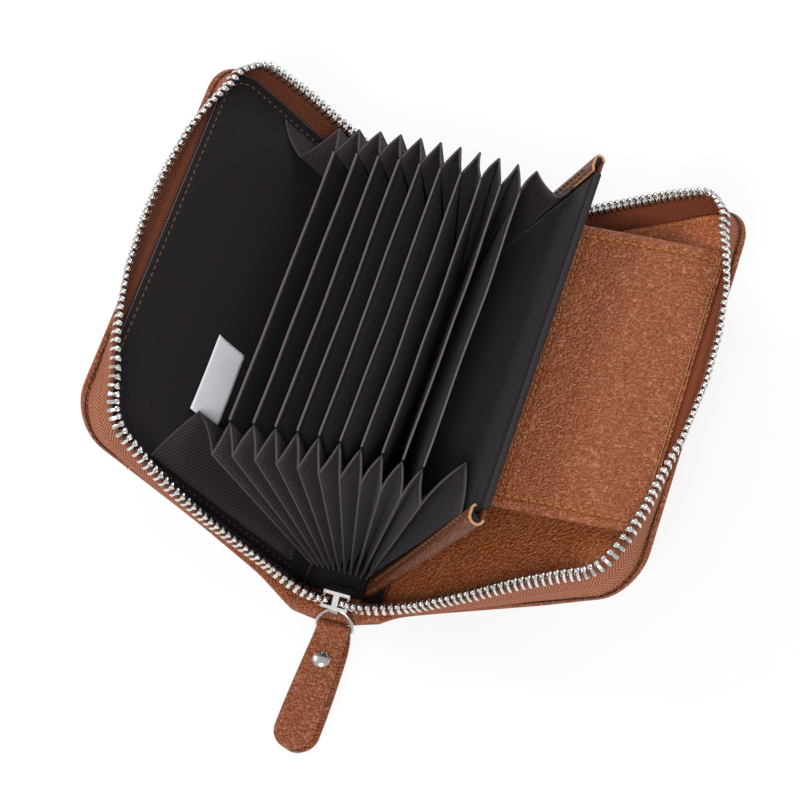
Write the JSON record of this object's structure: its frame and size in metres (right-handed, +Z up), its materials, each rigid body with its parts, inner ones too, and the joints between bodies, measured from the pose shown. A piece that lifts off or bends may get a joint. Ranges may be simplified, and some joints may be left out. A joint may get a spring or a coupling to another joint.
{
  "type": "accordion card holder",
  "caption": "Zip-around leather card holder standing half open, with a fanned accordion of card pockets, slip pocket and strap pull.",
  "frame": {"origin": "centre of the flat underside of the spine leather, on the surface it stands on", "axes": "+Y along the spine away from the slider, +X towards the cover with the slip pocket, +Z up out of the accordion"},
  "size_m": [0.1397, 0.1523, 0.0686],
  "materials": {
    "bottom_stop": "bright nickel plate",
    "divider_01": "ribbed lining fabric",
    "divider_02": "ribbed lining fabric",
    "divider_03": "ribbed lining fabric",
    "divider_04": "ribbed lining fabric",
    "divider_05": "ribbed lining fabric",
    "divider_06": "ribbed lining fabric",
    "divider_07": "ribbed lining fabric",
    "divider_08": "ribbed lining fabric",
    "divider_09": "ribbed lining fabric",
    "divider_10": "ribbed lining fabric",
    "end_divider_leather": "pebbled grain leather",
    "end_divider_lining": "ribbed lining fabric",
    "far_gusset": "ribbed lining fabric",
    "far_left_chain_end": "bright nickel plate",
    "far_left_tape_end": "woven tape",
    "far_right_chain_end": "bright nickel plate",
    "far_right_tape_end": "woven tape",
    "label": "smooth woven label",
    "left_cover_board": "pressed fibre board",
    "left_cover_leather": "pebbled grain leather",
    "left_cover_lining": "ribbed lining fabric",
    "left_zip_tape": "woven tape",
    "left_zip_teeth": "bright nickel plate",
    "near_gusset": "ribbed lining fabric",
    "near_left_chain_end": "bright nickel plate",
    "near_left_tape_end": "woven tape",
    "near_right_chain_end": "bright nickel plate",
    "near_right_tape_end": "woven tape",
    "pull_ring": "bright nickel plate",
    "pull_strap": "pebbled grain leather",
    "right_cover_board": "pressed fibre board",
    "right_cover_leather": "pebbled grain leather",
    "right_cover_lining": "pebbled grain leather",
    "right_zip_tape": "woven tape",
    "right_zip_teeth": "bright nickel plate",
    "rivet": "bright nickel plate",
    "slider": "bright nickel plate",
    "slip_pocket": "pebbled grain leather",
    "spine_leather": "pebbled grain leather",
    "spine_lining": "ribbed lining fabric"
  },
  "bodies": {
    "holder": {"spine_leather": "spine_leather", "spine_lining": "spine_lining", "bottom_stop": "bottom_stop", "near_gusset": "near_gusset", "far_gusset": "far_gusset", "near_left_tape_end": "near_left_tape_end", "near_left_chain_end": "near_left_chain_end", "near_right_tape_end": "near_right_tape_end", "near_right_chain_end": "near_right_chain_end", "far_left_tape_end": "far_left_tape_end", "far_left_chain_end": "far_left_chain_end", "far_right_tape_end": "far_right_tape_end", "far_right_chain_end": "far_right_chain_end"},
    "left_cover": {"left_cover_leather": "left_cover_leather", "left_cover_board": "left_cover_board", "left_cover_lining": "left_cover_lining", "left_zip_tape": "left_zip_tape", "left_zip_teeth": "left_zip_teeth", "label": "label"},
    "right_cover": {"right_cover_leather": "right_cover_leather", "right_cover_board": "right_cover_board", "right_cover_lining": "right_cover_lining", "right_zip_tape": "right_zip_tape", "right_zip_teeth": "right_zip_teeth"},
    "slip_pocket": {"slip_pocket": "slip_pocket"},
    "end_divider": {"end_divider_leather": "end_divider_leather", "end_divider_lining": "end_divider_lining"},
    "slider": {"slider": "slider"},
    "pull_ring": {"pull_ring": "pull_ring"},
    "pull_strap": {"pull_strap": "pull_strap", "rivet": "rivet"},
    "divider_01": {"divider_01": "divider_01"},
    "divider_02": {"divider_02": "divider_02"},
    "divider_03": {"divider_03": "divider_03"},
    "divider_04": {"divider_04": "divider_04"},
    "divider_05": {"divider_05": "divider_05"},
    "divider_06": {"divider_06": "divider_06"},
    "divider_07": {"divider_07": "divider_07"},
    "divider_08": {"divider_08": "divider_08"},
    "divider_09": {"divider_09": "divider_09"},
    "divider_10": {"divider_10": "divider_10"}
  },
  "joints": [
    {"name": "left_cover_fold", "type": "hinge", "parent": "holder", "child": "left_cover", "pos_m": [-0.0105, 0, 0.0012], "axis": [0, 1, 0], "range_deg": [0, 41], "deforming": ["near_gusset", "far_gusset", "near_left_tape_end", "near_left_chain_end", "far_left_tape_end", "far_left_chain_end"]},
    {"name": "right_cover_fold", "type": "hinge", "parent": "holder", "child": "right_cover", "pos_m": [0.0105, 0, 0.0012], "axis": [0, -1, 0], "range_deg": [0, 51], "deforming": ["near_right_tape_end", "near_right_chain_end", "far_right_tape_end", "far_right_chain_end"]},
    {"name": "divider_01_lean", "type": "hinge", "parent": "holder", "child": "divider_01", "pos_m": [-0.008, 0, 0.00295], "axis": [0, 1, 0], "range_deg": [0, 23.61]},
    {"name": "divider_02_lean", "type": "hinge", "parent": "holder", "child": "divider_02", "pos_m": [-0.0067, 0, 0.00295], "axis": [0, 1, 0], "range_deg": [0, 18.27]},
    {"name": "divider_03_lean", "type": "hinge", "parent": "holder", "child": "divider_03", "pos_m": [-0.0054, 0, 0.00295], "axis": [0, 1, 0], "range_deg": [0, 13.64]},
    {"name": "divider_04_lean", "type": "hinge", "parent": "holder", "child": "divider_04", "pos_m": [-0.0041, 0, 0.00295], "axis": [0, 1, 0], "range_deg": [0, 9.25]},
    {"name": "divider_05_lean", "type": "hinge", "parent": "holder", "child": "divider_05", "pos_m": [-0.0028, 0, 0.00295], "axis": [0, 1, 0], "range_deg": [0, 5.01]},
    {"name": "divider_06_lean", "type": "hinge", "parent": "holder", "child": "divider_06", "pos_m": [-0.0015, 0, 0.00295], "axis": [0, 1, 0], "range_deg": [0, 0.87]},
    {"name": "divider_07_lean", "type": "hinge", "parent": "holder", "child": "divider_07", "pos_m": [-0.0002, 0, 0.00295], "axis": [0, -1, 0], "range_deg": [0, 3.21]},
    {"name": "divider_08_lean", "type": "hinge", "parent": "holder", "child": "divider_08", "pos_m": [0.0011, 0, 0.00295], "axis": [0, -1, 0], "range_deg": [0, 7.2]},
    {"name": "divider_09_lean", "type": "hinge", "parent": "holder", "child": "divider_09", "pos_m": [0.0024, 0, 0.00295], "axis": [0, -1, 0], "range_deg": [0, 11.13]},
    {"name": "divider_10_lean", "type": "hinge", "parent": "holder", "child": "divider_10", "pos_m": [0.0037, 0, 0.00295], "axis": [0, -1, 0], "range_deg": [0, 15.01]},
    {"name": "end_divider_lean", "type": "hinge", "parent": "holder", "child": "end_divider", "pos_m": [0.0056, 0, 0.00295], "axis": [0, -1, 0], "range_deg": [0, 27.41]},
    {"name": "slip_pocket_seam", "type": "hinge", "parent": "right_cover", "child": "slip_pocket", "pos_m": [0.06812, 0, 0.05049], "axis": [0, -1, 0], "range_deg": [0, 31.81]},
    {"name": "slider_travel", "type": "slide", "parent": "holder", "child": "slider", "axis": [0, -0.5878, 0.809], "range_m": [0, 0.006]},
    {"name": "ring_swing", "type": "hinge", "parent": "slider", "child": "pull_ring", "pos_m": [0.0009, -0.05794, 0.0059], "axis": [1, 0, 0], "range_deg": [-60, 10]},
    {"name": "strap_swing", "type": "hinge", "parent": "pull_ring", "child": "pull_strap", "pos_m": [0.0009, -0.06132, 0.00195], "axis": [1, 0, 0], "range_deg": [-45, 30]}
  ],
  "couplings": [
    {"joint": "divider_01_lean", "follows": "left_cover_fold", "ratio": 0.5756},
    {"joint": "divider_02_lean", "follows": "left_cover_fold", "ratio": 0.44529},
    {"joint": "divider_03_lean", "follows": "left_cover_fold", "ratio": 0.33243},
    {"joint": "divider_04_lean", "follows": "left_cover_fold", "ratio": 0.22534},
    {"joint": "divider_05_lean", "follows": "left_cover_fold", "ratio": 0.12183},
    {"joint": "divider_06_lean", "follows": "left_cover_fold", "ratio": 0.0209},
    {"joint": "divider_07_lean", "follows": "right_cover_fold", "ratio": 0.0627},
    {"joint": "divider_08_lean", "follows": "right_cover_fold", "ratio": 0.1409},
    {"joint": "divider_09_lean", "follows": "right_cover_fold", "ratio": 0.21799},
    {"joint": "divider_10_lean", "follows": "right_cover_fold", "ratio": 0.29411},
    {"joint": "end_divider_lean", "follows": "right_cover_fold", "ratio": 0.53725},
    {"joint": "slip_pocket_seam", "follows": "right_cover_fold", "ratio": 0.62352}
  ]
}
